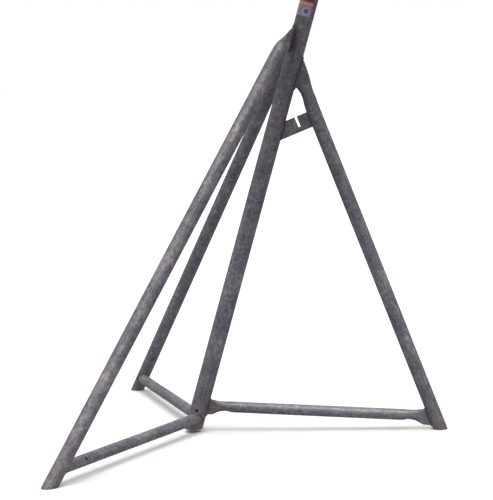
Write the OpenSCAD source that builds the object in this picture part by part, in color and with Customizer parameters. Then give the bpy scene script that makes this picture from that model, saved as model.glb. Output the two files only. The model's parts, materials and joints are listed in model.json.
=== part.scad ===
// Galvanised tripod boat stand: a leaning post, three braced legs, and a screw-jack pad on top.
// Millimetres. Z up, floor at z = 0. The post's axis meets the floor at the origin and leans towards +X,
// where the front leg stands. The stand mirrors about the plane y = 0. It rests on its three feet; the
// post's lower end hangs just clear of the floor. Post, legs and arms are 1 1/4, 1 and 3/4 inch pipe.

/* [Post] */
// Outside diameter of the centre post
post_od = 42.2; // [40:0.1:44]
// Inside diameter of the centre post
post_id = 35.1; // [34.5:0.1:36]
// Distance from the origin to the post's upper end, along its axis
post_length = 1130; // [1120:1:1180]
// Height of the post's lower end above the floor
post_clearance = 7; // [2:0.5:10]
// Lean of the post from upright, in degrees
post_lean = 17.1; // [16:0.1:18]

/* [Legs] */
// Outside diameter of the leg tube
leg_od = 33.4; // [32:0.1:35]
// Wall of the leg tube
leg_wall = 3.4; // [2.4:0.1:3.6]
// Distance of the front foot from the origin
front_foot_x = 603; // [590:1:620]
// Where the front leg's axis meets the post's axis, along the post
front_joint_s = 938; // [930:1:946]
// How far behind the origin the rear feet stand
rear_foot_x = 234; // [225:1:245]
// How far to each side the rear feet stand
rear_foot_y = 550; // [530:1:570]
// Point along the post that the straight rear legs aim beside
rear_aim_s = 1090; // [1080:1:1100]
// How far to the side of the post's axis the rear legs aim
rear_aim_y = 60; // [55:1:65]
// Length of the rear leg's straight run, from floor to kink
rear_bend_t = 1135; // [1130:1:1140]
// Middle of the rear legs' welds, along the post
rear_weld_s = 985.5; // [978:0.5:988]

/* [Base arms] */
// Outside diameter of the base arm tube
arm_od = 26.7; // [25:0.1:28]
// Wall of the base arm tube
arm_wall = 2.9; // [2:0.1:3]
// Height of the front arm at the post
front_arm_hub_z = 64; // [62:1:68]
// Height of the front arm at the front leg
front_arm_foot_z = 31; // [30:1:34]
// Height of the rear arms
rear_arm_z = 35; // [34:1:37]
// How far ahead of the post's axis the rear arms aim
rear_arm_hub_x = 7.5; // [5:0.5:8]
// How far behind the rear legs' axes the rear arms aim
rear_arm_foot_x = 3; // [0:0.5:3]

/* [Chain plate] */
// Thickness of the chain plate
plate_thick = 6; // [5:0.5:8]
// Width of the chain slot
slot_width = 5.8; // [5.6:0.1:7]
// Depth of the chain slot
slot_depth = 25.8; // [24:0.1:27]

/* [Jack screw] */
// Outside diameter of the screw's thread
screw_od = 31.75; // [31:0.05:32]
// Height that the screw can raise the pad
screw_travel = 431.8; // [380:0.1:440]
// Length of the handle nut
nut_height = 38; // [34:1:42]
// Length of each handle, from the screw's axis
handle_reach = 170; // [140:1:180]

/* [Pad] */
// Side of the square pad board
board_side = 305; // [250:1:320]
// Thickness of the pad board
board_thick = 38; // [25:1:40]
// Side of the square steel top plate
top_plate_side = 180; // [170:1:210]
// Thickness of the pad's rubber facing
facing_thick = 8; // [5:1:10]

/* [Hidden] */
$fn = 96;
tube_sides = 24;       // facets round a pressed or bent tube
bead_sides = 8;        // facets round a weld bead
bead_r = 2.6;          // radius of a weld bead
leg_r = leg_od / 2;
arm_r = arm_od / 2;
post_r = post_od / 2;
below = 60;            // how far a tube runs below the floor before it is trimmed
stack_gap = 0.3;       // running gap between the turning nut and what it rests on
trim_length = 200;     // how much of a leg is cut from the arm that meets it
weld_back = 16.5;      // the middle of a rear leg's weld, behind and beside the post's axis
weld_side = 14;

// Directions: up the post, and square to it towards the front leg
up_post = [sin(post_lean), 0, cos(post_lean)];
ahead = [cos(post_lean), 0, -sin(post_lean)];
across = [0, 1, 0];

// Flattened ends: half width and half thickness of the pressed tube
leg_flat_hw = 24;
leg_flat_ht = 3.8;
arm_flat_hw = 20.6;
arm_flat_ht = 3.4;

// Axis points
post_foot = [0, 0, 0];
front_foot = [front_foot_x, 0, 0];
front_top = front_joint_s * up_post;
front_dir = unit(front_top - front_foot);
rear_foot = [-rear_foot_x, -rear_foot_y, 0];
rear_aim = rear_aim_s * up_post - rear_aim_y * across;
rear_dir = unit(rear_aim - rear_foot);
rear_kink = rear_foot + rear_bend_t * rear_dir;
rear_end = rear_weld_s * up_post - weld_back * ahead - weld_side * across;
rear_end_dir = unit(rear_end - rear_kink);
front_arm_hub = at_height(post_foot, up_post, front_arm_hub_z);
front_arm_foot = at_height(front_foot, front_dir, front_arm_foot_z);
front_arm_dir = unit(front_arm_foot - front_arm_hub);
front_arm_len = norm(front_arm_foot - front_arm_hub);
rear_arm_post = at_height(post_foot, up_post, rear_arm_z);
rear_arm_foot = at_height(rear_foot, rear_dir, rear_arm_z) - [rear_arm_foot_x, 0, 0];
rear_arm_aim = rear_arm_post + [rear_arm_hub_x, 0, 0];
rear_arm_dir = unit(rear_arm_foot - rear_arm_aim);
rear_arm_hub = rear_arm_aim + ((rear_arm_post - rear_arm_aim) * rear_arm_dir) * rear_arm_dir;
rear_arm_len = norm(rear_arm_foot - rear_arm_hub);
rear_arm_side = cross(rear_arm_dir, [0, 0, -1]);  // square to a rear arm, to its front side

// Stack of the jack, along the post's axis
washer_thick = 4;
nut_s = post_length + washer_thick + stack_gap;
nut_top_s = nut_s + nut_height;
screw_above_nut = 18;   // with the screw right down
screw_left_in = 20;     // length still inside the post with the screw right up
screw_top_s = nut_top_s + screw_above_nut;
screw_bottom_s = nut_s - screw_travel - screw_left_in;
lug_r = 17;
lug_thick = 16;
lug_neck = 8;
pivot_s = screw_top_s + lug_r + lug_neck;
pivot_r = 6.35;
ear_gap = lug_thick + 1;
ear_thick = 6;
ear_height = 24;        // from the pivot to the bracket's base
bracket_base_s = pivot_s + ear_height;
bracket_base_thick = 6;
top_plate_s = bracket_base_s + bracket_base_thick;
top_plate_thick = 6.3;
board_s = top_plate_s + top_plate_thick;
facing_s = board_s + board_thick;
bolt_r = 5;
bolt_pitch = 140;
bolt_head_thick = 7;
bolt_head_across = 17;

galvanised = [0.42, 0.42, 0.43];
bead_grey = [0.36, 0.36, 0.37];

// ---- Geometry helpers ----

function unit(v) = v / norm(v);
function at_height(p, d, z) = p + d * ((z - p[2]) / d[2]);
// The part of v that is square to direction a
function square_to(v, a) = v - (v * a) * a;

// A point on the section of a tube that is round, or pressed flat to half width hw and half thickness ht
function section_point(angle, hw, ht) = [(hw - ht) * sign(cos(angle)) + ht * cos(angle), ht * sin(angle)];
function section_angle(i) = (i + 0.5) * 360 / tube_sides;

// A station is [centre, direction, half width, half thickness, sideways shift]; ref gives the width's direction
function ring(st, inset, ref) =
    let (w = unit(square_to(ref, st[1])), b = cross(st[1], w),
         ht = max(st[3] - inset, 0.4), hw = max(st[2] - inset, ht))
    [for (i = [0:tube_sides - 1])
        let (p = section_point(section_angle(i), hw, ht)) st[0] + (p[0] + st[4]) * w + p[1] * b];

// Faces of a skin of rings; a wall facing outwards, or inwards when inside is true
function skin_faces(first, rings, inside) =
    [for (r = [0:rings - 2], i = [0:tube_sides - 1])
        let (j = (i + 1) % tube_sides, a = first + r * tube_sides + i, b = first + r * tube_sides + j,
             c = b + tube_sides, d = a + tube_sides)
        each inside ? [[a, b, c], [a, c, d]] : [[a, c, b], [a, d, c]]];
// Faces that join the outer ring to the inner ring at one end
function end_faces(outer, inner, far) =
    [for (i = [0:tube_sides - 1])
        let (j = (i + 1) % tube_sides)
        each far ? [[outer + i, inner + j, outer + j], [outer + i, inner + i, inner + j]]
                 : [[outer + i, outer + j, inner + j], [outer + i, inner + j, inner + i]]];

// A hollow tube through a list of stations
module swept_tube(stations, wall, ref) {
    rings = len(stations);
    inner_first = rings * tube_sides;
    last = (rings - 1) * tube_sides;
    polyhedron(
        points = concat([for (st = stations) each ring(st, 0, ref)],
                        [for (st = stations) each ring(st, wall, ref)]),
        faces = concat(skin_faces(0, rings, false), skin_faces(inner_first, rings, true),
                       end_faces(0, inner_first, false), end_faces(last, inner_first + last, true)));
}

// Stands a shape that is drawn along Z on a point and turns it to a direction
module along(p, d) {
    translate(p) rotate([0, acos(d[2]), atan2(d[1], d[0])]) children();
}
// Draws in the post's own frame: Z up the post, X towards the front leg
module post_frame(s = 0) {
    rotate([0, post_lean, 0]) translate([0, 0, s]) children();
}
module below_level(z) {
    translate([-600, -900, z - 200]) cube([1600, 1800, 200]);
}
module post_solid() {
    post_frame(-below) cylinder(r = post_r, h = post_length + below);
}
// The half space behind the post's axis, where no front part may reach
module behind_post() {
    post_frame(600) translate([-80, -40, 0]) cube([80, 80, 500]);
}
module leg_solid(foot, d, length) {
    along(foot - below * d, d) cylinder(r = leg_r, h = length + below);
}

// How far along d from p a line first meets a cylinder of radius r about the line through q along a, or
// comes nearest to it where it passes by
function reach(p, d, q, a, r) =
    let (u = square_to(p - q, a), v = square_to(d, a), h = u * v)
    (-h - sqrt(max(0, h * h - (v * v) * (u * u - r * r)))) / (v * v);
// The closed line where a tube's section, sent along d, meets that cylinder
function weld_line(p, d, ref, hw, ht, shift, q, a, r) =
    let (w = unit(square_to(ref, d)), b = cross(d, w))
    [for (i = [0:tube_sides - 1])
        let (c = section_point(section_angle(i), hw, ht), s = p + (c[0] + shift) * w + c[1] * b)
        s + reach(s, d, q, a, r) * d];

// A round bead along a closed line of points
module bead(line, q, a) {
    n = len(line);
    points = [for (k = [0:n - 1])
        let (t = unit(line[(k + 1) % n] - line[(k + n - 1) % n]),
             out = unit(square_to(square_to(line[k] - q, a), t)), side = cross(t, out))
        for (i = [0:bead_sides - 1])
            let (g = i * 360 / bead_sides) line[k] + bead_r * (cos(g) * out + sin(g) * side)];
    faces = [for (k = [0:n - 1], i = [0:bead_sides - 1])
        let (m = (k + 1) % n, j = (i + 1) % bead_sides,
             p0 = k * bead_sides + i, p1 = k * bead_sides + j,
             p2 = m * bead_sides + j, p3 = m * bead_sides + i)
        each [[p0, p2, p1], [p0, p3, p2]]];
    polyhedron(points = points, faces = faces);
}

// ---- Frame ----

vent_r = 3.6;           // galvanising vents
vent_s = 57;            // the post's vent, along the post
arm_vent = 91;          // a rear arm's vent, from the leg's axis
arm_vent_rise = 25;     // how far above level it faces, in degrees

module main_post() {
    color(galvanised) difference() {
        post_solid();
        post_frame(-below - 1) cylinder(d = post_id, h = post_length + below + 2);
        post_frame(vent_s) translate([-2.5, 0, 0]) rotate([90, 0, 0]) cylinder(r = vent_r, h = post_od);
        below_level(post_clearance);
    }
}

front_leg_len = norm(front_top - front_foot);
front_leg_stations = [for (k = [
        // distance short of the post's axis, half width, half thickness, shift
        [front_leg_len + below, leg_r, leg_r, 0],
        [118, leg_r, leg_r, 0],
        [98, leg_r - 1.5, leg_r - 0.8, 1.6],
        [83, leg_r - 1.3, leg_r - 3.8, 2.0],
        [72, leg_r + 0.2, leg_r - 7.2, 1.4],
        [63, leg_flat_hw - 4.8, leg_flat_ht + 3, 0.2],
        [50, leg_flat_hw - 2.8, leg_flat_ht + 1.4, -0.4],
        [31, leg_flat_hw - 1.4, leg_flat_ht + 0.4, -0.4],
        [-35, leg_flat_hw, leg_flat_ht, 0]])
    [front_top - k[0] * front_dir, front_dir, k[1], k[2], k[3]]];

module front_leg() {
    color(galvanised) difference() {
        swept_tube(front_leg_stations, leg_wall, [1, 0, 0]);
        post_solid();
        behind_post();
        below_level(0);
    }
}

// The rear leg: straight, then a kink, then a pressed end that runs in to the post
kink_reach = 18;
kink_steps = 4;
kink_start = rear_kink - kink_reach * rear_dir;
kink_end = rear_kink + kink_reach * rear_end_dir;
rear_leg_stations = concat(
    [[rear_foot - below * rear_dir, rear_dir, leg_r, leg_r, 0]],
    [for (k = [0:kink_steps])
        let (t = k / kink_steps)
        [(1 - t) * (1 - t) * kink_start + 2 * t * (1 - t) * rear_kink + t * t * kink_end,
         unit((1 - t) * rear_dir + t * rear_end_dir), leg_r, leg_r - 2 * t, 0]],
    [for (k = [
        // distance past the kink, half width, half thickness
        [31, leg_r + 1, leg_r - 4.6],
        [46, leg_flat_hw - 3.6, leg_flat_ht + 4.6],
        [64, leg_flat_hw + 1.2, leg_flat_ht + 1.2],
        [102, leg_flat_hw + 7.6, leg_flat_ht]])
        [rear_kink + k[0] * rear_end_dir, rear_end_dir, k[1], k[2], 0]]);

module right_rear_leg() {
    color(galvanised) difference() {
        swept_tube(rear_leg_stations, leg_wall, up_post);
        post_solid();
        below_level(0);
    }
}
module left_rear_leg() {
    mirror([0, 1, 0]) right_rear_leg();
}

// Both ends of the front arm are pressed alike
front_arm_end = [
    // distance from the axis of the post or leg, half width, half thickness, shift
    [6, arm_flat_hw + 0.6, arm_flat_ht, -4.2],
    [24, arm_flat_hw - 0.6, arm_flat_ht + 0.2, -3.2],
    [34, arm_flat_hw - 3, arm_flat_ht + 1.4, -1.9],
    [47, arm_r - 0.2, arm_r - 5.2, 0],
    [57, arm_r - 1.4, arm_r - 2.6, 0.8],
    [66, arm_r - 1.7, arm_r - 1.7, 1.2],
    [80, arm_r, arm_r, 0]];
last_end = len(front_arm_end) - 1;
front_arm_stations = concat(
    [for (k = front_arm_end) [front_arm_hub + k[0] * front_arm_dir, front_arm_dir, k[1], k[2], k[3]]],
    [for (i = [last_end:-1:0])
        let (k = front_arm_end[i]) [front_arm_foot - k[0] * front_arm_dir, front_arm_dir, k[1], k[2], k[3]]]);

module front_arm() {
    color(galvanised) difference() {
        swept_tube(front_arm_stations, arm_wall, [0, 0, 1]);
        post_solid();
        leg_solid(front_foot, front_dir, trim_length);
    }
}

module right_rear_arm() {
    color(galvanised) difference() {
        along(rear_arm_hub, rear_arm_dir) difference() {
            cylinder(r = arm_r, h = rear_arm_len);
            translate([0, 0, -1]) cylinder(r = arm_r - arm_wall, h = rear_arm_len + 2);
        }
        post_solid();
        leg_solid(rear_foot, rear_dir, trim_length);
        along(rear_arm_foot - arm_vent * rear_arm_dir,
              cos(arm_vent_rise) * rear_arm_side + [0, 0, sin(arm_vent_rise)]) cylinder(r = vent_r, h = arm_od);
    }
}
module left_rear_arm() {
    mirror([0, 1, 0]) right_rear_arm();
}

// The chain plate fills the corner between the post and the front leg; its slot is open at the top edge
plate_rise = 21;                    // slope of the plate's edges, in degrees
plate_corner = [250.5, 751];        // x, z where its top edge meets the post
plate_height = 38;
slot_from_post = 28;                // along the top edge, from the post to the slot's middle

module chain_plate() {
    color(galvanised) difference() {
        translate([plate_corner[0], plate_thick / 2, plate_corner[1]]) rotate([90, 0, 0])
            rotate(plate_rise) linear_extrude(plate_thick) difference() {
                translate([-40, -plate_height]) square([150, plate_height]);
                translate([slot_from_post - slot_width / 2, -slot_depth]) square([slot_width, slot_depth + 1]);
            }
        post_solid();
        behind_post();
        leg_solid(front_foot, front_dir, front_leg_len);
        // beyond the front leg's axis
        along(front_foot, front_dir) translate([-200, -20, 600]) cube([200, 40, 400]);
    }
}

// ---- Welds and label ----

module front_leg_weld() {
    color(bead_grey)
        bead(weld_line(front_foot, front_dir, [1, 0, 0], leg_flat_hw - 0.8, leg_flat_ht, 0,
                       post_foot, up_post, post_r),
             post_foot, up_post);
}
module right_rear_leg_weld() {
    color(bead_grey)
        bead(weld_line(rear_kink, rear_end_dir, up_post, leg_flat_hw + 6.4, leg_flat_ht, 0,
                       post_foot, up_post, post_r),
             post_foot, up_post);
}
module left_rear_leg_weld() {
    mirror([0, 1, 0]) right_rear_leg_weld();
}
module rear_arm_weld_at_post() {
    bead(weld_line(rear_arm_foot, -rear_arm_dir, [0, 0, 1], arm_r, arm_r, 0, post_foot, up_post, post_r),
         post_foot, up_post);
}
module rear_arm_weld_at_leg() {
    bead(weld_line(rear_arm_hub, rear_arm_dir, [0, 0, 1], arm_r, arm_r, 0, rear_foot, rear_dir, leg_r),
         rear_foot, rear_dir);
}
module hub_welds() {
    color(bead_grey) {
        bead(weld_line(front_arm_foot, -front_arm_dir, [0, 0, 1], arm_flat_hw - 0.6, arm_flat_ht + 0.2, -3.2,
                       post_foot, up_post, post_r),
             post_foot, up_post);
        rear_arm_weld_at_post();
        mirror([0, 1, 0]) rear_arm_weld_at_post();
    }
}
module foot_welds() {
    color(bead_grey) {
        bead(weld_line(front_arm_hub, front_arm_dir, [0, 0, 1], arm_flat_hw - 0.6, arm_flat_ht + 0.2, -3.2,
                       front_foot, front_dir, leg_r),
             front_foot, front_dir);
        rear_arm_weld_at_leg();
        mirror([0, 1, 0]) rear_arm_weld_at_leg();
    }
}
// Two straight beads on each face of the plate, at the post and at the leg
post_weld_s = 745;
post_weld_len = 49;
leg_weld_t = 789;
leg_weld_len = 39;
module chain_plate_welds() {
    color(bead_grey) for (side = [-1, 1]) {
        post_frame(post_weld_s) translate([post_r, side * plate_thick / 2, 0])
            cylinder(r = bead_r - 0.5, h = post_weld_len);
        along(front_foot, front_dir) translate([leg_r, side * plate_thick / 2, leg_weld_t])
            cylinder(r = bead_r - 0.5, h = leg_weld_len);
    }
}

label_s = 1043.5;       // lower edge of the sticker, along the post
label_height = 72.5;
label_thick = 0.35;
label_from = -223;      // where the sticker begins and how far round it runs, in degrees from the front
label_wrap = 170;
module post_label() {
    color([0.82, 0.74, 0.78]) post_frame(label_s) rotate(label_from)
        rotate_extrude(angle = label_wrap) translate([post_r, 0]) square([label_thick, label_height]);
}

// ---- Jack ----

module thrust_washer() {
    color([0.5, 0.5, 0.5]) post_frame(post_length) difference() {
        cylinder(d = post_od + 14, h = washer_thick);
        translate([0, 0, -1]) cylinder(d = screw_od + 1.6, h = washer_thick + 2);
    }
}

nut_bore_r = screw_od / 2 + 0.1;
flange_height = 8;
barrel_r = 24.5;
handle_r = 7;
handle_s = nut_s + nut_height / 2 + 3;
module handle_nut() {
    color([0.38, 0.38, 0.39]) difference() {
        post_frame(nut_s) union() {
            cylinder(d = post_od + 16, h = flange_height);
            cylinder(r = barrel_r, h = nut_height);
        }
        post_frame(nut_s - 1) cylinder(r = nut_bore_r, h = nut_height + 2);
        post_frame(handle_s) handle_pair(barrel_r - 6);
    }
}
// Both handles, from the barrel's sockets outwards
module handle_pair(start) {
    for (side = [-1, 1])
        rotate([side * 90, 0, 0]) translate([0, 0, start]) cylinder(r = handle_r, h = handle_reach - start);
}
module handle_bars() {
    color([0.45, 0.45, 0.46]) post_frame(handle_s) handle_pair(barrel_r - 6);
}

module jack_screw() {
    color([0.5, 0.49, 0.47]) post_frame(screw_bottom_s)
        cylinder(d = screw_od, h = screw_top_s - screw_bottom_s);
}

// A flat eye in the plane square to the pivot: a bar with a round end and a pin hole
module eye(thick, bottom, top, hole_r) {
    rotate([90, 0, 0]) difference() {
        union() {
            translate([0, 0, -thick / 2]) cylinder(r = lug_r, h = thick);
            translate([-lug_r, bottom, -thick / 2]) cube([2 * lug_r, top - bottom, thick]);
        }
        translate([0, 0, -thick]) cylinder(r = hole_r, h = 2 * thick);
    }
}
module screw_lug() {
    color([0.48, 0.48, 0.48]) post_frame(pivot_s) eye(lug_thick, screw_top_s - pivot_s, 0, pivot_r + 0.1);
}

ear_y = ear_gap / 2 + ear_thick / 2;
module pad_bracket() {
    color(galvanised) union() {
        for (side = [-1, 1])
            post_frame(pivot_s) translate([0, side * ear_y, 0])
                eye(ear_thick, 0, bracket_base_s - pivot_s + 1, pivot_r + 0.1);
        post_frame(bracket_base_s) translate([-lug_r, -ear_y - ear_thick / 2, 0])
            cube([2 * lug_r, 2 * ear_y + ear_thick, bracket_base_thick]);
    }
}

head_y = ear_y + ear_thick / 2;
hex_across = 19;
hex_thick = 9;
module pivot_bolt() {
    color([0.6, 0.6, 0.58]) post_frame(pivot_s) rotate([90, 0, 0]) {
        translate([0, 0, -head_y - hex_thick - 3]) cylinder(r = pivot_r, h = 2 * head_y + hex_thick + 3);
        translate([0, 0, head_y]) cylinder(d = hex_across / cos(30), h = hex_thick, $fn = 6);
    }
}
module pivot_nut() {
    color([0.6, 0.6, 0.58]) post_frame(pivot_s) rotate([90, 0, 0]) difference() {
        translate([0, 0, -head_y - hex_thick]) cylinder(d = hex_across / cos(30), h = hex_thick, $fn = 6);
        translate([0, 0, -head_y - hex_thick - 1]) cylinder(r = pivot_r, h = hex_thick + 2);
    }
}

// ---- Pad ----

module at_bolts() {
    for (x = [-1, 1], y = [-1, 1]) translate([x * bolt_pitch / 2, y * bolt_pitch / 2, 0]) children();
}
// A square slab with rounded corners
module slab(side, thick, corner) {
    inner = side - 2 * corner;
    linear_extrude(thick) union() {
        square([side, inner], center = true);
        square([inner, side], center = true);
        for (x = [-1, 1], y = [-1, 1]) translate([x * inner / 2, y * inner / 2]) circle(corner);
    }
}
module top_plate() {
    color(galvanised) post_frame(top_plate_s) difference() {
        slab(top_plate_side, top_plate_thick, 12);
        translate([0, 0, -1]) at_bolts() cylinder(r = bolt_r + 0.4, h = top_plate_thick + 2);
    }
}
screw_in_board = 28;
module pad_board() {
    color([0.72, 0.56, 0.38]) post_frame(board_s) difference() {
        slab(board_side, board_thick, 14);
        translate([0, 0, -1]) at_bolts() cylinder(r = bolt_r, h = screw_in_board + 1);
    }
}
module pad_facing() {
    color([0.12, 0.12, 0.13]) post_frame(facing_s) slab(board_side, facing_thick, 14);
}
module pad_bolts() {
    color([0.6, 0.6, 0.58]) post_frame(top_plate_s) at_bolts() {
        translate([0, 0, -bolt_head_thick])
            cylinder(d = bolt_head_across / cos(30), h = bolt_head_thick, $fn = 6);
        cylinder(r = bolt_r, h = top_plate_thick + screw_in_board);
    }
}

main_post();
front_leg();
left_rear_leg();
right_rear_leg();
front_arm();
left_rear_arm();
right_rear_arm();
chain_plate();
front_leg_weld();
left_rear_leg_weld();
right_rear_leg_weld();
hub_welds();
foot_welds();
chain_plate_welds();
post_label();
thrust_washer();
handle_nut();
handle_bars();
jack_screw();
screw_lug();
pad_bracket();
pivot_bolt();
pivot_nut();
top_plate();
pad_board();
pad_facing();
pad_bolts();
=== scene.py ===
"""A galvanised tripod boat stand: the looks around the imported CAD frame.

Everything is in metres in the frame of the CAD part: Z up, floor at z = 0, the post's axis meets the floor
at the origin and leans towards +X, where the front leg stands. The frame mirrors about the plane y = 0.
"""

import json
import math

import bmesh
import bpy
import numpy as np
from mathutils import Matrix, Vector


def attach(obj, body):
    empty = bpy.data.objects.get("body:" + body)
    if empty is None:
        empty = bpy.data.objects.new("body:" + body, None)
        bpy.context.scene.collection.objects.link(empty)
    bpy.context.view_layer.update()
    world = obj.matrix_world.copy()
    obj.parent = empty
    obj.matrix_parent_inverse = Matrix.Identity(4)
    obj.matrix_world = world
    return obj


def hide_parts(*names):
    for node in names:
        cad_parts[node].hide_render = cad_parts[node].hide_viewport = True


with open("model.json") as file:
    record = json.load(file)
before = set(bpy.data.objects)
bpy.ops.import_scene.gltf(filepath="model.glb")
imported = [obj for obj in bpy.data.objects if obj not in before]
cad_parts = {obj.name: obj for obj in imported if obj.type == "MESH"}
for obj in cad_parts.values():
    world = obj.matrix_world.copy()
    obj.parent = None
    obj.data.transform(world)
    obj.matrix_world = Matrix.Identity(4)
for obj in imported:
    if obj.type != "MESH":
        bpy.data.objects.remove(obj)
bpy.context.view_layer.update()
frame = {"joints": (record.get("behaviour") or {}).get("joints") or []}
scene = bpy.context.scene

# -------- sizes, as in the CAD part

MM = 0.001
POST_R = 21.1 * MM
POST_BORE_R = 17.55 * MM
POST_LENGTH = 1130 * MM
POST_CLEARANCE = 7 * MM  # the post's lower end hangs this far above the floor
LEG_R = 16.7 * MM
LEG_WALL = 3.4 * MM
ARM_R = 13.35 * MM
ARM_WALL = 2.9 * MM
LEG_FLAT = (24 * MM, 3.8 * MM)  # half width and half thickness of a pressed leg end
ARM_FLAT = (20.6 * MM, 3.4 * MM)
BEAD_R = 2.6 * MM
PLATE_THICK = 6 * MM
VENT_R = 3.6 * MM

JOINTS = {joint["name"]: joint for joint in frame["joints"]}
UP = -Vector(JOINTS["nut_turn"]["axis"]).normalized()  # up the post
ACROSS = Vector((0, 1, 0))
AHEAD = ACROSS.cross(UP)  # square to the post, towards the front leg
TO_FRONT = Vector((1, 0, 0))
FLOOR_UP = Vector((0, 0, 1))
HUB = Vector((0, 0, 0))

PIVOT = Vector(JOINTS["pad_tilt"]["pos_m"])
PIVOT_S = PIVOT.dot(UP)
NUT_S = Vector(JOINTS["nut_turn"]["pos_m"]).dot(UP)

FRONT_FOOT = Vector((0.603, 0, 0))
FRONT_TOP = 0.938 * UP
FRONT_DIR = (FRONT_TOP - FRONT_FOOT).normalized()
FRONT_LEN = (FRONT_TOP - FRONT_FOOT).length
FRONT_BACK = FRONT_DIR.cross(ACROSS)  # square to the front leg, towards the post
REAR_FOOT = Vector((-0.234, -0.550, 0))
REAR_DIR = (1.090 * UP - 0.060 * ACROSS - REAR_FOOT).normalized()
REAR_KINK_T = 1.135
REAR_KINK = REAR_FOOT + REAR_KINK_T * REAR_DIR
REAR_END = 0.9855 * UP - 0.0165 * AHEAD - 0.014 * ACROSS
REAR_END_DIR = (REAR_END - REAR_KINK).normalized()


def at_height(point, direction, z):
    """The point of a line at height z."""
    return point + direction * ((z - point.z) / direction.z)


FRONT_ARM_HUB = at_height(HUB, UP, 0.064)
FRONT_ARM_FOOT = at_height(FRONT_FOOT, FRONT_DIR, 0.031)
FRONT_ARM_DIR = (FRONT_ARM_FOOT - FRONT_ARM_HUB).normalized()
FRONT_ARM_LEN = (FRONT_ARM_FOOT - FRONT_ARM_HUB).length
REAR_ARM_POST = at_height(HUB, UP, 0.035)
REAR_ARM_AIM = REAR_ARM_POST + 0.0075 * TO_FRONT
REAR_ARM_FOOT = at_height(REAR_FOOT, REAR_DIR, 0.035) - 0.003 * TO_FRONT
REAR_ARM_DIR = (REAR_ARM_FOOT - REAR_ARM_AIM).normalized()
REAR_ARM_HUB = REAR_ARM_AIM + (REAR_ARM_POST - REAR_ARM_AIM).dot(REAR_ARM_DIR) * REAR_ARM_DIR
REAR_ARM_LEN = (REAR_ARM_FOOT - REAR_ARM_HUB).length
REAR_ARM_SIDE = REAR_ARM_DIR.cross(-FLOOR_UP)  # square to a rear arm, to its front side

# the tubes that others are coped to: a point on the axis, the axis and the radius
POST = (HUB, UP, POST_R)
FRONT_LEG = (FRONT_FOOT, FRONT_DIR, LEG_R)
REAR_LEG = (REAR_FOOT, REAR_DIR, LEG_R)

# -------- camera, light and floor

CAMERA_AT = Vector((0.6263, -4.1539, 0.9078))
CAMERA_YAW = -0.11467  # turned from +Y towards +X, in radians
CAMERA_PITCH = -0.11047
CAMERA_ROLL = 0.03556
CAMERA_LENS = 125.47  # millimetres, on a sensor 36 mm wide


def add_camera():
    """The camera at the photograph's viewing angle."""
    turn = Matrix.Rotation(-CAMERA_YAW, 3, "Z") @ Matrix.Rotation(CAMERA_PITCH + math.pi / 2, 3, "X")
    data = bpy.data.cameras.new("camera")
    data.sensor_width = 36.0
    data.lens = CAMERA_LENS
    data.clip_end = 60
    camera = bpy.data.objects.new("camera", data)
    basis = turn @ Matrix.Rotation(-CAMERA_ROLL, 3, "Z")
    camera.matrix_world = Matrix.Translation(CAMERA_AT) @ basis.to_4x4()
    scene.collection.objects.link(camera)
    scene.camera = camera


# from straight down, at 0, over the horizon, at 0.5, to straight up, at 1
WORLD_STOPS = [(0.0, (0.34, 0.34, 0.36)), (0.5, (0.46, 0.465, 0.49)), (0.68, (0.54, 0.54, 0.56)),
               (0.88, (0.90, 0.885, 0.87))]


def add_world():
    """A studio that is white to the eye, but as light is bright only overhead, so that round steel shows one
    soft highlight along its upper side."""
    world = bpy.data.worlds.new("studio")
    world.use_nodes = True
    scene.world = world
    n = Tree(world.node_tree)
    n.tree.nodes.clear()
    soft, pale, mix = n.add("Background"), n.add("Background"), n.add("MixShader")
    n.value(pale.inputs["Color"], (1, 1, 1))
    height = n.axes(n.add("TexCoord").outputs["Generated"])[2]
    n.link(n.ramp(n.levels(height, -1.0, 1.0), WORLD_STOPS), soft.inputs["Color"])
    n.link(n.add("LightPath").outputs["Is Camera Ray"], mix.inputs["Fac"])
    n.link(soft.outputs[0], mix.inputs[1])
    n.link(pale.outputs[0], mix.inputs[2])
    n.link(mix.outputs[0], n.add("OutputWorld").inputs["Surface"])


def add_floor():
    """A plain pale floor. It takes the shadows but throws no light back on the steel."""
    mesh = bpy.data.meshes.new("floor")
    half, below = 60.0, 0.6 * MM
    corners = [(-half, -half, 0), (half, -half, 0), (half, half, 0), (-half, half, 0)]
    mesh.from_pydata(corners, [], [(0, 1, 2, 3)])
    mesh.materials.append(Nodes("floor_white").finish((0.94, 0.94, 0.94), 1.0, Specular_IOR_Level=0.0))
    floor = bpy.data.objects.new("floor", mesh)
    scene.collection.objects.link(floor)
    floor.location.z = -below
    floor.visible_diffuse = False
    floor.visible_glossy = False


def add_sun():
    """A broad warm light from overhead, a little from the front."""
    data = bpy.data.lights.new("overhead", "SUN")
    data.energy = 2.1
    data.angle = math.radians(50)
    data.color = (1.0, 0.975, 0.95)
    light = bpy.data.objects.new("overhead", data)
    light.rotation_euler = Vector((0.06, -0.22, 1.0)).to_track_quat("Z", "Y").to_euler()
    scene.collection.objects.link(light)


def add_studio():
    """Camera, light, world and floor."""
    scene.view_settings.view_transform = "Standard"
    add_camera()
    add_sun()
    add_world()
    add_floor()


# -------- material helpers


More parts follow.
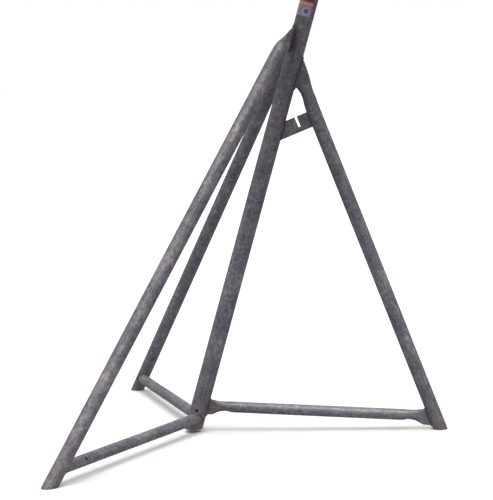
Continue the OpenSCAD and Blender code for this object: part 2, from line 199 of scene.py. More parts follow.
class Tree:
    """Short calls for building a node tree. Inputs are sockets, numbers, or (r, g, b) or (x, y, z)."""

    def __init__(self, tree):
        self.tree = tree

    def add(self, kind, **settings):
        node = self.tree.nodes.new("ShaderNode" + kind)
        for key, value in settings.items():
            setattr(node, key, value)
        return node

    def link(self, source, target):
        self.tree.links.new(source, target)

    def value(self, socket, source):
        """Sets a socket, or links it."""
        if isinstance(source, tuple):
            socket.default_value = (*source, 1) if socket.type == "RGBA" else source
        elif isinstance(source, (int, float)):
            socket.default_value = source
        else:
            self.link(source, socket)

    def node(self, kind, output, values, **settings):
        """Adds a node, gives it its inputs by name or number, and returns one output."""
        node = self.add(kind, **settings)
        for key, source in values.items():
            self.value(node.inputs[key], source)
        return node.outputs[output]

    def axes(self, vector):
        """The X, Y and Z of a vector."""
        node = self.add("SeparateXYZ")
        self.link(vector, node.inputs[0])
        return node.outputs

    def object_space(self):
        return self.add("TexCoord").outputs["Object"]

    def attribute(self, name, output="Fac"):
        return self.add("Attribute", attribute_name=name).outputs[output]

    def tube_space(self):
        """A piece's own coordinates, which its mesh carries as an attribute."""
        return self.attribute("tube_co", "Vector")

    def scaled(self, vector, scale):
        return self.node("VectorMath", 0, {0: vector, 1: scale}, operation="MULTIPLY")

    def noise(self, vector, scale, detail=4.0, roughness=0.55, distortion=0.0):
        return self.node("TexNoise", "Fac", {"Vector": vector, "Scale": scale, "Detail": detail,
                                             "Roughness": roughness, "Distortion": distortion})

    def cells(self, vector, scale, output="Distance"):
        return self.node("TexVoronoi", output, {"Vector": vector, "Scale": scale})

    def ramp(self, source, stops):
        """A colour ramp; each stop is (place, (r, g, b))."""
        node = self.add("ValToRGB")
        elements = node.color_ramp.elements
        while len(elements) < len(stops):
            elements.new(0.5)
        for element, (place, colour) in zip(elements, stops):
            element.position = place
            element.color = (*colour, 1)
        self.link(source, node.inputs["Fac"])
        return node.outputs["Color"]

    def levels(self, source, low, high, to_low=0.0, to_high=1.0):
        """Stretches source from low..high to to_low..to_high."""
        return self.node("MapRange", 0, {"Value": source, "From Min": low, "From Max": high,
                                         "To Min": to_low, "To Max": to_high})

    def math(self, operation, *values):
        return self.node("Math", 0, dict(enumerate(values)), operation=operation)

    def times(self, a, b):
        return self.math("MULTIPLY", a, b)

    def total(self, start, *layers):
        """A start value plus each source times its weight."""
        for source, weight in layers:
            start = self.math("MULTIPLY_ADD", source, weight, start)
        return start

    def mix(self, factor, a, b, blend="MIX"):
        """Mixes two colours."""
        first, second, result = 6, 7, 2  # the sockets of a mix of colours
        return self.node("Mix", result, {"Factor": factor, first: a, second: b}, data_type="RGBA",
                         blend_type=blend)

    def bump(self, height, strength, distance, under=None):
        values = {"Height": height, "Strength": strength, "Distance": distance}
        if under is not None:
            values["Normal"] = under
        return self.node("Bump", "Normal", values)


class Nodes(Tree):
    """The node tree of a new material."""

    def __init__(self, name):
        self.material = bpy.data.materials.new(name)
        self.material.use_nodes = True
        super().__init__(self.material.node_tree)
        self.shader = self.tree.nodes["Principled BSDF"]

    def finish(self, colour, roughness, metallic=0.0, normal=None, **constants):
        """Joins the parts to the shader. Numbers that are the same all over are set on its own sockets."""
        values = {"Base Color": colour, "Roughness": roughness, "Metallic": metallic, **constants}
        if normal is not None:
            values["Normal"] = normal
        for key, source in values.items():
            self.value(self.shader.inputs[key.replace("_", " ")], source)
        return self.material


def galvanised_material(name, brightness=1.0, grain=1.0, stained=0.5):
    """Weathered hot-dip galvanising: broad cloudy patches, faint crystal spangle, flecks, runs along the
    tube, a warm bloom on a bluish ground, dark pits, brown stains near the welds, and painted shade that
    darkens it higher up."""
    n = Nodes(name)
    along = n.tube_space()
    clouds = n.noise(along, 9.0, 5.0, 0.62)
    patches = n.noise(n.scaled(along, (1.0, 1.0, 0.45)), 42.0, 5.0, 0.6, 0.4)
    specks = n.noise(along, 260.0 * grain, 3.0, 0.7)
    runs = n.noise(n.scaled(along, (1.0, 1.0, 0.08)), 120.0, 3.0, 0.6)
    flecks = n.noise(n.scaled(along, (1.0, 1.0, 0.5)), 190.0 * grain, 4.0, 0.75)
    crystal = n.node("RGBToBW", 0, {0: n.cells(along, 105.0 * grain, "Color")})
    # its middle lies near 0.39
    tone = n.total(-0.75, (clouds, 0.40), (patches, 0.26), (specks, 0.40), (flecks, 0.80), (crystal, 0.16),
                   (runs, 0.26))

    def zinc(*colour):
        return tuple(brightness * part for part in colour)

    colour = n.ramp(tone, [
        (0.14, zinc(0.062, 0.060, 0.070)), (0.34, zinc(0.118, 0.114, 0.130)),
        (0.50, zinc(0.186, 0.175, 0.182)), (0.66, zinc(0.330, 0.297, 0.282)),
        (0.84, zinc(0.520, 0.468, 0.425))])
    violet = n.levels(n.noise(along, 5.0, 2.0), 0.42, 0.66, 0.0, 0.5)
    colour = n.mix(violet, colour, (0.86, 0.86, 1.0), "MULTIPLY")
    stain = n.times(n.attribute("stain"), n.levels(patches, 0.35, 0.62))
    colour = n.mix(n.times(stain, stained), colour, zinc(0.105, 0.080, 0.066))
    # painted shade: the colour is multiplied down towards 0.74 from the floor up to 1 m, so the steel reads
    # darker higher up as if less lit there
    low = n.levels(n.axes(n.object_space())[2], 0.0, 1.0, 1.0, 0.0)
    colour = n.mix(low, n.mix(1.0, colour, (0.74, 0.73, 0.74), "MULTIPLY"), colour)
    pits = n.levels(n.cells(along, 75.0), 0.02, 0.10, 0.55, 0.0)
    pits = n.times(pits, n.levels(clouds, 0.48, 0.60))
    colour = n.mix(pits, colour, (0.045, 0.042, 0.045))

    roughness = n.levels(n.total(0.0, (patches, 0.6), (specks, 0.4)), 0.3, 0.7, 0.38, 0.62)
    normal = None
    for height, strength, depth in ((specks, 0.45, 0.5), (runs, 0.30, 1.0), (flecks, 0.35, 1.0),
                                    (patches, 0.25, 1.6)):
        normal = n.bump(height, strength, depth * MM, normal)
    return n.finish(colour, roughness, 0.55, normal)


def plain_metal(name, dark, light, roughness):
    """A plated or machined metal with fine grain and a little grime."""
    n = Nodes(name)
    place = n.object_space()
    broad, fine = n.noise(place, 60.0, 5.0, 0.6), n.noise(place, 900.0, 2.0)
    colour = n.ramp(n.total(0.0, (broad, 0.75), (fine, 0.25)), [(0.3, dark), (0.7, light)])
    rough = n.levels(broad, 0.3, 0.7, roughness - 0.1, roughness + 0.12)
    return n.finish(colour, rough, 0.9, n.bump(fine, 0.25, 0.2 * MM))


def rubber_material():
    """Black rubber sheet: matte, dusty, with a fine pebble."""
    n = Nodes("black_rubber")
    place = n.object_space()
    dust = n.noise(place, 22.0, 6.0, 0.65)
    colour = n.ramp(dust, [(0.35, (0.014, 0.014, 0.015)), (0.75, (0.052, 0.050, 0.048))])
    pebble = n.bump(n.cells(place, 700.0), 0.3, 0.3 * MM)
    return n.finish(colour, n.levels(dust, 0.3, 0.8, 0.62, 0.88), 0.0, pebble)


PLY = 4.2 * MM


def plywood_material():
    """Sealed exterior plywood: long grain on the faces, and the plies showing on the edges."""
    n = Nodes("plywood")
    board = n.tube_space()  # x and y in the board's face, z through its thickness
    grain = n.noise(n.scaled(board, (0.10, 1.0, 1.0)), 150.0, 6.0, 0.6, 1.2)
    figure = n.noise(n.scaled(board, (0.22, 1.0, 1.0)), 26.0, 3.0, 0.5, 2.0)
    face = n.ramp(n.total(0.0, (grain, 0.45), (figure, 0.55)), [
        (0.34, (0.235, 0.128, 0.058)), (0.50, (0.400, 0.240, 0.120)), (0.66, (0.520, 0.345, 0.190))])
    ply = n.math("PINGPONG", n.times(n.axes(board)[2], 1 / PLY), 1.0)
    edge = n.ramp(ply, [(0.30, (0.205, 0.112, 0.055)), (0.60, (0.455, 0.300, 0.165))])
    edge = n.mix(n.levels(grain, 0.35, 0.7, 0.0, 0.55), edge, (0.16, 0.09, 0.045))
    side = n.attribute("stain")  # 1 on the board's edges
    rough = n.levels(grain, 0.3, 0.7, 0.45, 0.65)
    return n.finish(n.mix(side, face, edge), rough, 0.0, n.bump(grain, 0.35, 0.5 * MM))


# The sticker's print, in metres from its lower left corner
MARK_MIDDLES = (0.019, 0.050)  # of the round shapes, along its width
MARK_HEIGHT = 0.0125
BAR_PITCH = 0.0030
BAR_FIELD = (0.004, 0.022)
DARK_RED = (0.20, 0.018, 0.022)
BANDS = [((0.0245, 0.0355), (0.52, 0.20, 0.17)), ((0.0280, 0.0310), (0.66, 0.46, 0.44)),
         ((0.0355, 0.0580), DARK_RED), ((0.0620, 0.0700), DARK_RED)]


def sticker_material():
    """A worn generic sticker: dark red and orange bands, a pale field with plain bars and round shapes."""
    n = Nodes("sticker")
    place = n.tube_space()
    x, y = n.axes(place)[:2]

    def band(low, high):
        return n.times(n.math("GREATER_THAN", y, low), n.math("LESS_THAN", y, high))

    worn = n.noise(n.object_space(), 300.0, 5.0, 0.7)
    paper = n.ramp(worn, [(0.35, (0.22, 0.17, 0.22)), (0.65, (0.46, 0.39, 0.45))])
    bars = n.math("GREATER_THAN", n.math("PINGPONG", n.times(y, 1 / BAR_PITCH), 1.0), 0.62)
    gaps = n.math("GREATER_THAN", n.noise(n.scaled(place, (1.0, 0.3, 1.0)), 420.0, 1.0), 0.44)
    bars = n.times(n.times(bars, band(*BAR_FIELD)), gaps)
    colour = n.mix(n.times(bars, 0.6), paper, (0.20, 0.11, 0.16))
    for middle in MARK_MIDDLES:
        dx, dy = n.math("SUBTRACT", x, middle), n.math("SUBTRACT", y, MARK_HEIGHT)
        far = n.math("SQRT", n.total(0.0, (dx, dx), (dy, dy)))
        colour = n.mix(n.math("LESS_THAN", far, 0.0100), colour, (0.42, 0.38, 0.50))
        colour = n.mix(n.times(n.math("LESS_THAN", far, 0.0060), 0.85), colour, (0.06, 0.06, 0.26))
    for limits, ink in BANDS:
        colour = n.mix(band(*limits), colour, ink)
    colour = n.mix(n.levels(worn, 0.55, 0.75, 0.0, 0.35), colour, (0.25, 0.22, 0.22))
    return n.finish(colour, n.levels(worn, 0.3, 0.7, 0.35, 0.55), 0.0, n.bump(worn, 0.12, 0.2 * MM),
                    Coat_Weight=0.25, Coat_Roughness=0.3)


# -------- mesh helpers

SIDES = 64  # points round a tube of the frame


def square_to(vector, axis):
    """The part of a vector that is square to a unit axis."""
    return vector - vector.dot(axis) * axis


def section_point(share, hw, ht):
    """A point on the outline of a tube that is round, or pressed flat to half width hw and half thickness ht.
    share runs once round from 0 to 1, and the points are evenly spaced along the outline."""
    flat, quarter = hw - ht, math.pi / 2 * ht
    half = 2 * (flat + quarter)
    place = (share % 1.0) * 2 * half
    sign = 1 if place < half else -1  # the second half is the first, turned about the middle
    place %= half
    run = min(max(place - quarter, 0.0), 2 * flat)  # along the flat side
    angle = (place - run) / ht
    return sign * (flat - run + ht * math.cos(angle)), sign * ht * math.sin(angle)


def section_ring(centre, direction, towards, section, count, first=0.0):
    """Points round a section (half width, half thickness, shift) that is square to direction and has its
    width towards a side."""
    hw, ht, shift = section
    width = square_to(towards, direction).normalized()
    thick = direction.cross(width)
    outline = [section_point((i + first) / count, hw, ht) for i in range(count)]
    return [centre + (x + shift) * width + y * thick for x, y in outline]


def smooth_keys(keys, places):
    """Smooth values at places through (place, value, ...) keys, with no overshoot."""
    xs = np.array([k[0] for k in keys], float)
    ys = np.array([k[1:] for k in keys], float)
    slope = np.diff(ys, axis=0) / np.diff(xs)[:, None]
    before, after = slope[:-1], slope[1:]
    same_way = before * after > 0
    tangent = np.zeros_like(ys)
    tangent[1:-1] = np.where(same_way, 2 * before * after / np.where(same_way, before + after, 1), 0)
    out = []
    for place in places:
        i = int(np.clip(np.searchsorted(xs, place) - 1, 0, len(xs) - 2))
        h = xs[i + 1] - xs[i]
        t = min(max((place - xs[i]) / h, 0.0), 1.0)
        eased = ys[i] + t * t * (3 - 2 * t) * (ys[i + 1] - ys[i])
        out.append(eased + h * t * (1 - t) * ((1 - t) * tangent[i] - t * tangent[i + 1]))
    return out


def reach(point, direction, on_axis, axis, radius):
    """How far along direction a line first meets a cylinder, or comes nearest to it where it passes by."""
    u, v = square_to(point - on_axis, axis), square_to(direction, axis)
    h, vv = u.dot(v), v.dot(v)
    root = h * h - vv * (u.dot(u) - radius * radius)
    return (-h - math.sqrt(max(root, 0.0))) / vv


def sent(points, direction, on_axis, axis, radius):
    """Points moved along direction until they meet a round tube."""
    return [p + reach(p, direction, on_axis, axis, radius) * direction for p in points]


def set_attribute(mesh, name, values, domain="POINT"):
    """Gives each point or corner of a mesh a value or a vector."""
    values = np.array(values, np.float32)
    kind, field = ("FLOAT", "value") if values.ndim == 1 else ("FLOAT_VECTOR", "vector")
    mesh.attributes.new(name, kind, domain).data.foreach_set(field, values.ravel())


def new_piece(name, verts, faces, material, body, nodes, slot, coords=None, stain=None, sharp=40):
    """A mesh object that rides on a body and stands for CAD nodes."""
    mesh = bpy.data.meshes.new(name)
    mesh.from_pydata([tuple(v) for v in verts], [], faces)
    if coords is not None:
        set_attribute(mesh, "tube_co", coords)
    if stain is not None:
        set_attribute(mesh, "stain", stain)
    return finish_mesh(name, mesh, material, body, nodes, sharp)


def mesh_from(work, name):
    mesh = bpy.data.meshes.new(name)
    work.to_mesh(mesh)
    work.free()
    return mesh


def finish_mesh(name, mesh, material, body, nodes, sharp=40):
    """Gives a mesh consistent outward faces, smooth shading and its place in the frame."""
    work = bmesh.new()
    work.from_mesh(mesh)
    bmesh.ops.recalc_face_normals(work, faces=work.faces)
    work.to_mesh(mesh)
    work.free()
    mesh.shade_smooth()
    mesh.set_sharp_from_angle(angle=math.radians(sharp))
    mesh.materials.append(material)
    piece = bpy.data.objects.new(name, mesh)
    scene.collection.objects.link(piece)
    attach(piece, body)
    if nodes:
        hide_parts(*nodes)
    return piece


def mirrored(points):
    return [Vector((p.x, -p.y, p.z)) for p in points]


def circle(centre, x_axis, y_axis, radius, sides):
    """A ring of points. The radius is a number, or a function of the angle."""
    points = []
    for i in range(sides):
        angle = 2 * math.pi * i / sides
        far = radius(angle) if callable(radius) else radius
        points.append(centre + far * (math.cos(angle) * x_axis + math.sin(angle) * y_axis))
    return points


def strip_faces(rings, sides, closed_ends=False, wrap=False):
    """Quads between rings of points; wrap joins the last ring to the first."""
    faces = []
    for r in range(rings if wrap else rings - 1):
        a, b = r * sides, ((r + 1) % rings) * sides
        for i in range(sides):
            j = (i + 1) % sides
            faces.append((a + i, a + j, b + j, b + i))
    if closed_ends:
        faces.append(tuple(reversed(range(sides))))
        faces.append(tuple(range((rings - 1) * sides, rings * sides)))
    return faces


def stacked(rings):
    """Verts and faces of a solid through rings of points, closed at both ends."""
    return [p for ring in rings for p in ring], strip_faces(len(rings), len(rings[0]), closed_ends=True)


def solid(profile, origin, axis, x_axis, sides=48):
    """Verts and faces of a solid with the rings of a (radius, height) profile. For the radius see circle."""
    y_axis = axis.cross(x_axis)
    return stacked([circle(origin + h * axis, x_axis, y_axis, r, sides) for r, h in profile])


def spun(profile, origin, axis, x_axis, sides):
    """Verts and faces of a closed (radius, height) profile spun about an axis."""
    outs = circle(Vector(), x_axis, axis.cross(x_axis), 1.0, sides)
    verts = [origin + r * out + h * axis for out in outs for r, h in profile]
    return verts, strip_faces(sides, len(profile), wrap=True)


def joined(parts):
    """One set of verts and faces out of several."""
    verts, faces = [], []
    for part_verts, part_faces in parts:
        start = len(verts)
        verts += part_verts
        faces += [tuple(start + i for i in face) for face in part_faces]
    return verts, faces


# Where the weld heat and its brown staining is: the joints of the frame
HOT_SPOTS = [FRONT_TOP - 0.03 * UP + 0.02 * AHEAD, REAR_END, *mirrored([REAR_END]), FRONT_ARM_HUB,
             REAR_ARM_HUB, FRONT_ARM_FOOT, REAR_ARM_FOOT, *mirrored([REAR_ARM_FOOT]),
             0.77 * UP + 0.04 * AHEAD]


def stain_at(point, spread=60 * MM):
    """1 at a weld, fading with distance."""
    return max(math.exp(-((point - spot).length / spread) ** 2) for spot in HOT_SPOTS)


# -------- tubes of the frame


class Tube:
    """A hollow tube of the frame along a path, with ends trimmed to the floor or to another tube."""

    def __init__(self, wall, width_towards):
        self.wall = wall
        self.width_towards = width_towards
        self.stations = []  # (centre, direction, half width, half thickness, shift, place along)

    def straight(self, start, direction, keys, places, before=0.0):
        """Adds stations on a straight line. keys are (place, half width, half thickness, shift), and before
        is the length of tube before the line."""
        for place, values in zip(places, smooth_keys(keys, places)):
            hw, ht, shift = (float(value) for value in values)
            self.stations.append((start + place * direction, direction, hw, ht, shift, before + place))

    def ring(self, station, inset):
        centre, direction, hw, ht, shift, _ = station
        ht = max(ht - inset, 0.3 * MM)
        section = (max(hw - inset, ht), ht, shift)
        return section_ring(centre, direction, self.width_towards, section, SIDES, 0.5)

    def skin(self, inset, trim_start, trim_end):
        """(ring, station) pairs along the tube's outside, or inside with inset."""
        rings = [self.ring(station, inset) for station in self.stations]
        rings[0] = trim_start(rings[0], self.stations[0][1])
        rings[-1] = trim_end(rings[-1], self.stations[-1][1])
        return list(zip(rings, self.stations))

    def build(self, node, material, trim_start, trim_end, mirror=False, holes=()):
        """trim_start and trim_end move a ring's points along the tube: (points, direction) -> points.
        holes are (centre, direction, radius, depth)."""
        name = node + "_tube"
        outside = self.skin(0.0, trim_start, trim_end)
        outside[:1] = softened(*outside[0])
        inside = self.skin(self.wall, trim_start, trim_end)
        offset = len(name) * 0.37  # each tube takes its own part of the pattern
        angles = [2 * math.pi * (i + 0.5) / SIDES for i in range(SIDES)]
        around = [(LEG_R * math.cos(angle) + offset, LEG_R * math.sin(angle)) for angle in angles]
        verts, coords = [], []
        for points, (centre, direction, *_, place) in outside + inside[::-1]:
            verts += points
            coords += [(*xy, (p - centre).dot(direction) + place) for xy, p in zip(around, points)]
        faces = strip_faces(len(verts) // SIDES, SIDES, wrap=True)
        if mirror:
            verts = mirrored(verts)
        stain = [stain_at(v) for v in verts]
        piece = new_piece(name, verts, faces, material, "frame", [node], "galvanised_tube", coords, stain)
        for centre, direction, radius, depth in holes:
            if mirror:
                centre, direction = mirrored([centre, direction])
            drill(piece, centre, direction, radius, depth)


def softened(points, station, edge=0.5 * MM):
    """Two rings for one, which round the tube's cut: one drawn in, and one behind it."""
    middle = sum(points, Vector()) / len(points)
    return [([p + (middle - p).normalized() * edge for p in points], station),
            ([p + edge * station[1] for p in points], station)]


def drill(piece, centre, direction, radius, depth):
    """Cuts a round hole."""
    work = bmesh.new()
    turn = direction.to_track_quat("Z", "Y").to_matrix().to_4x4()
    bmesh.ops.create_cone(work, cap_ends=True, segments=32, radius1=radius, radius2=radius, depth=depth,
                          matrix=Matrix.Translation(centre) @ turn)
    mesh = mesh_from(work, "drill")
    tool = bpy.data.objects.new("drill", mesh)
    scene.collection.objects.link(tool)
    cut = piece.modifiers.new("hole", "BOOLEAN")
    cut.operation = "DIFFERENCE"
    cut.solver = "EXACT"
    cut.object = tool
    bpy.context.view_layer.update()
    cut_piece = piece.evaluated_get(bpy.context.evaluated_depsgraph_get())
    piece.data = bpy.data.meshes.new_from_object(cut_piece)
    piece.modifiers.clear()
    bpy.data.objects.remove(tool)
    bpy.data.meshes.remove(mesh)


def to_level(height):
    """A trim that ends a tube level at a height."""
    return lambda points, direction: [at_height(p, direction, height) for p in points]


def untrimmed(points, direction):
    return points


def to_tube(on_axis, axis, radius, way=1):
    """A trim that copes a ring to a round tube, which is ahead of it, or behind it with way -1."""
    clear, sunk = 0.3, 0.3 * MM  # how far off the search starts, and how far the ring runs in

    def trim(points, direction):
        starts = [p - way * clear * direction for p in points]
        return sent(starts, way * direction, on_axis, axis, radius - sunk)
    return trim


def spaced(start, stop, step):
    count = max(2, int(round((stop - start) / step)) + 1)
    return [start + (stop - start) * k / (count - 1) for k in range(count)]


CLOSE, WIDE = 0.0025, 0.05  # spacing of stations on a pressed end and on a plain length


def plain(radius, length):
    """Keys of a plain round length."""
    return [(0, radius, radius, 0), (length, radius, radius, 0)]


def pressed(origin, way, rows):
    """Keys of a pressed end. The rows are in millimetres: distance from the origin, half width, half
    thickness and shift."""
    return [(origin + way * MM * row[0], *(MM * size for size in row[1:])) for row in rows]


def build_post(material):
    """The centre post: cut level just above the floor, square at the top."""
    tube = Tube(POST_R - POST_BORE_R, AHEAD)
    tube.straight(HUB, UP, plain(POST_R, POST_LENGTH), [0.012] + spaced(0.03, POST_LENGTH, WIDE))
    vent = (0.057 * UP - 0.0025 * AHEAD - POST_R * ACROSS, ACROSS, VENT_R, 12 * MM)
    tube.build("main_post", material, to_level(POST_CLEARANCE), untrimmed, holes=[vent])


def build_front_leg(material):
    """The front leg, pressed flat where it meets the post."""
    r, hw, ht = LEG_R / MM, LEG_FLAT[0] / MM, LEG_FLAT[1] / MM
    end = FRONT_LEN
    keys = [(0, LEG_R, LEG_R, 0)] + pressed(end, -1, (
        (118, r, r, 0), (98, r - 1.5, r - 0.8, 1.6), (83, r - 1.3, r - 3.8, 2.0), (72, r + 0.2, r - 7.2, 1.4),
        (63, hw - 4.8, ht + 3.0, 0.2), (50, hw - 2.8, ht + 1.4, -0.4), (31, hw - 1.4, ht + 0.4, -0.4),
        (-35, hw, ht, 0)))
    places = [0.012] + spaced(0.04, end - 0.13, WIDE)
    places += spaced(end - 0.118, end - 0.022, CLOSE) + [end - 0.012]
    tube = Tube(LEG_WALL, TO_FRONT)
    tube.straight(FRONT_FOOT, FRONT_DIR, keys, places)
    tube.build("front_leg", material, to_level(0), to_tube(*POST))


def build_rear_leg(node, material, mirror):
    """A rear leg: straight, a kink, then a pressed end that runs in to the post's flank."""
    tube = Tube(LEG_WALL, UP)
    kink, narrowed = 18 * MM, 2 * MM  # the bend's length each way, and how much it thins the tube
    straight_end = REAR_KINK_T - kink
    tube.straight(REAR_FOOT, REAR_DIR, plain(LEG_R, straight_end),
                  [0.012] + spaced(0.04, straight_end - 0.02, WIDE) + [straight_end])
    start, stop = REAR_KINK - kink * REAR_DIR, REAR_KINK + kink * REAR_END_DIR
    steps = 14
    for k in range(1, steps):
        t = k / steps
        centre = (1 - t) ** 2 * start + 2 * t * (1 - t) * REAR_KINK + t * t * stop
        direction = ((1 - t) * REAR_DIR + t * REAR_END_DIR).normalized()
        tube.stations.append((centre, direction, LEG_R, LEG_R - narrowed * t, 0,
                              straight_end + 1.8 * kink * t))
    r, hw, ht = LEG_R / MM, LEG_FLAT[0] / MM, LEG_FLAT[1] / MM
    keys = pressed(0, 1, ((18, r, r - 2, 0), (31, r + 1, r - 4.6, 0), (46, hw - 3.6, ht + 4.6, 0),
                          (64, hw + 1.2, ht + 1.2, 0), (102, hw + 7.6, ht, 0)))
    tube.straight(REAR_KINK, REAR_END_DIR, keys, spaced(kink, 0.074, 0.004), straight_end + 0.8 * kink)
    tube.build(node, material, to_level(0), to_tube(*POST), mirror)


def build_front_arm(material):
    """The front base arm, pressed flat at both ends."""
    r, hw, ht = ARM_R / MM, ARM_FLAT[0] / MM, ARM_FLAT[1] / MM
    rows = ((6, hw + 0.6, ht, -4.2), (24, hw - 0.6, ht + 0.2, -3.2), (34, hw - 3.0, ht + 1.4, -1.9),
            (47, r - 0.2, r - 5.2, 0), (57, r - 1.4, r - 2.6, 0.8), (66, r - 1.7, r - 1.7, 1.2),
            (80, r, r, 0))
    end = FRONT_ARM_LEN
    keys = pressed(0, 1, rows) + pressed(end, -1, rows)[::-1]
    places = spaced(0.029, 0.084, CLOSE) + spaced(0.11, end - 0.11, WIDE)
    places += spaced(end - 0.084, end - 0.024, CLOSE)
    tube = Tube(ARM_WALL, FLOOR_UP)
    tube.straight(FRONT_ARM_HUB, FRONT_ARM_DIR, keys, places)
    tube.build("front_arm", material, to_tube(*POST, -1), to_tube(*FRONT_LEG))


def build_rear_arm(node, material, mirror):
    """A rear base arm with plain coped ends and a vent hole in its front side, near the foot."""
    tube = Tube(ARM_WALL, FLOOR_UP)
    tube.straight(REAR_ARM_HUB, REAR_ARM_DIR, plain(ARM_R, REAR_ARM_LEN),
                  spaced(0.05, REAR_ARM_LEN - 0.05, WIDE))
    rise = math.radians(25)
    out = math.cos(rise) * REAR_ARM_SIDE + math.sin(rise) * FLOOR_UP
    vent = (REAR_ARM_FOOT - 0.091 * REAR_ARM_DIR + ARM_R * out, out, VENT_R, 9 * MM)
    tube.build(node, material, to_tube(*POST, -1), to_tube(*REAR_LEG), mirror, [vent])


# -------- welds


def bead_along(line, on_axis, axis, radius, closed=True):
    """Verts, faces and coords of a weld bead on a tube, with the ripples of its runs."""
    sides, n = 12, len(line)
    run_length, sway_length = 2.6 * MM, 7 * MM
    offset = 0.3  # the beads take their own part of the pattern
    around = circle(offset * TO_FRONT, TO_FRONT, ACROSS, radius, sides)
    verts, coords, length = [], [], 0.0
    for k, point in enumerate(line):
        after = line[(k + 1) % n] if closed else line[min(k + 1, n - 1)]
        before = line[k - 1] if closed or k else point
        tangent = (after - before).normalized()
        out = square_to(square_to(point - on_axis, axis), tangent).normalized()
        if k:
            length += (point - before).length
        ripple = 1 + 0.10 * math.cos(2 * math.pi * length / run_length)
        ripple += 0.06 * math.sin(length / sway_length)
        # a little flatter on the outside
        verts += circle(point, out, tangent.cross(out),
                        lambda angle: radius * ripple * (0.92 if math.cos(angle) > 0 else 1.0), sides)
        coords += [(place.x, place.y, length) for place in around]
    return verts, strip_faces(n, sides, closed_ends=not closed, wrap=closed), coords


def bead_round(point, direction, towards, section, tube, count=180):
    """The bead along the closed line where a section, sent along direction, meets a round tube."""
    line = sent(section_ring(point, direction, towards, section, count), direction, *tube)
    return bead_along(line, tube[0], tube[1], BEAD_R)


def mirror_bead(bead):
    verts, faces, coords = bead
    return mirrored(verts), faces, coords


def build_beads(name, node, material, *beads):
    """One piece of one or more beads."""
    verts, faces = joined([bead[:2] for bead in beads])
    coords = [place for bead in beads for place in bead[2]]
    new_piece(name, verts, faces, material, "frame", [node], "galvanised_weld", coords,
              [stain_at(v) for v in verts], sharp=60)


PLATE_BEAD_STEP = 0.706 * MM


def build_plate_beads(material):
    """Straight beads on both sides of the chain plate, at the post and at the front leg."""
    beads = []
    for side in (-1, 1):
        face = side * PLATE_THICK / 2 * ACROSS
        for tube, towards, start, stop in ((POST, AHEAD, 0.746, 0.793),
                                           (FRONT_LEG, FRONT_BACK, 0.790, 0.827)):
            on_axis, axis, radius = tube
            edge = on_axis + radius * towards + face
            line = [edge + place * axis for place in spaced(start, stop, PLATE_BEAD_STEP)]
            beads.append(bead_along(line, on_axis + face, axis, BEAD_R - 0.5 * MM, closed=False))
    build_beads("chain_plate_weld_beads", "chain_plate_welds", material, *beads)


def build_welds(material):
    """Every weld of the frame."""
    hw, ht = LEG_FLAT
    bead = bead_round(FRONT_FOOT, FRONT_DIR, TO_FRONT, (hw - 0.8 * MM, ht, 0), POST)
    build_beads("front_leg_weld_bead", "front_leg_weld", material, bead)
    bead = bead_round(REAR_KINK, REAR_END_DIR, UP, (hw + 6.4 * MM, ht, 0), POST)
    build_beads("right_rear_leg_weld_bead", "right_rear_leg_weld", material, bead)
    build_beads("left_rear_leg_weld_bead", "left_rear_leg_weld", material, mirror_bead(bead))

    flat = (ARM_FLAT[0] - 0.6 * MM, ARM_FLAT[1] + 0.2 * MM, -3.2 * MM)
    plain = (ARM_R, ARM_R, 0)
    front = bead_round(FRONT_ARM_FOOT, -FRONT_ARM_DIR, FLOOR_UP, flat, POST)
    rear = bead_round(REAR_ARM_FOOT, -REAR_ARM_DIR, FLOOR_UP, plain, POST)
    build_beads("hub_weld_beads", "hub_welds", material, front, rear, mirror_bead(rear))
    front = bead_round(FRONT_ARM_HUB, FRONT_ARM_DIR, FLOOR_UP, flat, FRONT_LEG)
    rear = bead_round(REAR_ARM_HUB, REAR_ARM_DIR, FLOOR_UP, plain, REAR_LEG)
    build_beads("foot_weld_beads", "foot_welds", material, front, rear, mirror_bead(rear))
    build_plate_beads(material)


# -------- flat and turned pieces


def plate(name, outline, plane, depth, material, body, nodes, bevel, holes=()):
    """A plate with softened edges: an outline of (x, y) in a plane (origin, x axis, y axis), given thickness
    along depth. holes are (centre, radius) in that plane."""
    origin, x_axis, y_axis = plane
    work = bmesh.new()
    face = work.faces.new([work.verts.new(origin + x * x_axis + y * y_axis) for x, y in outline])
    grown = bmesh.ops.extrude_face_region(work, geom=[face])
    moved = [e for e in grown["geom"] if isinstance(e, bmesh.types.BMVert)]
    bmesh.ops.translate(work, verts=moved, vec=depth)
    bmesh.ops.recalc_face_normals(work, faces=work.faces)
    sharp = [e for e in work.edges if len(e.link_faces) == 2 and e.calc_face_angle(0) > math.radians(30)]
    bmesh.ops.bevel(work, geom=sharp, offset=bevel, segments=3, profile=0.5, affect="EDGES")
    piece = finish_mesh(name, mesh_from(work, name), material, body, nodes)
    for centre, radius in holes:
        drill(piece, centre + depth / 2, depth.normalized(), radius, depth.length * 1.6)
    return piece


def steel_plate(name, outline, plane, depth, material, body, nodes, bevel, holes=()):
    add_coords(plate(name, outline, plane, depth, material, body, nodes, bevel, holes))


def add_coords(piece):
    """Gives a plain piece the attributes that the galvanised material reads."""
    places = [v.co for v in piece.data.vertices]
    set_attribute(piece.data, "tube_co", places)
    set_attribute(piece.data, "stain", [stain_at(place) for place in places])


def arc(centre, radius, start, stop, steps):
    """Points on an arc; angles in degrees."""
    angles = [math.radians(start + (stop - start) * k / steps) for k in range(steps + 1)]
    return [(centre[0] + radius * math.cos(angle), centre[1] + radius * math.sin(angle)) for angle in angles]


def turned(name, profile, origin, material, body, nodes, slot):
    """A turned piece about the post's axis, of a closed (radius, height) profile."""
    verts, faces = spun(profile, origin, UP, UP.orthogonal().normalized(), 96)
    add_coords(new_piece(name, verts, faces, material, body, nodes, slot, sharp=35))


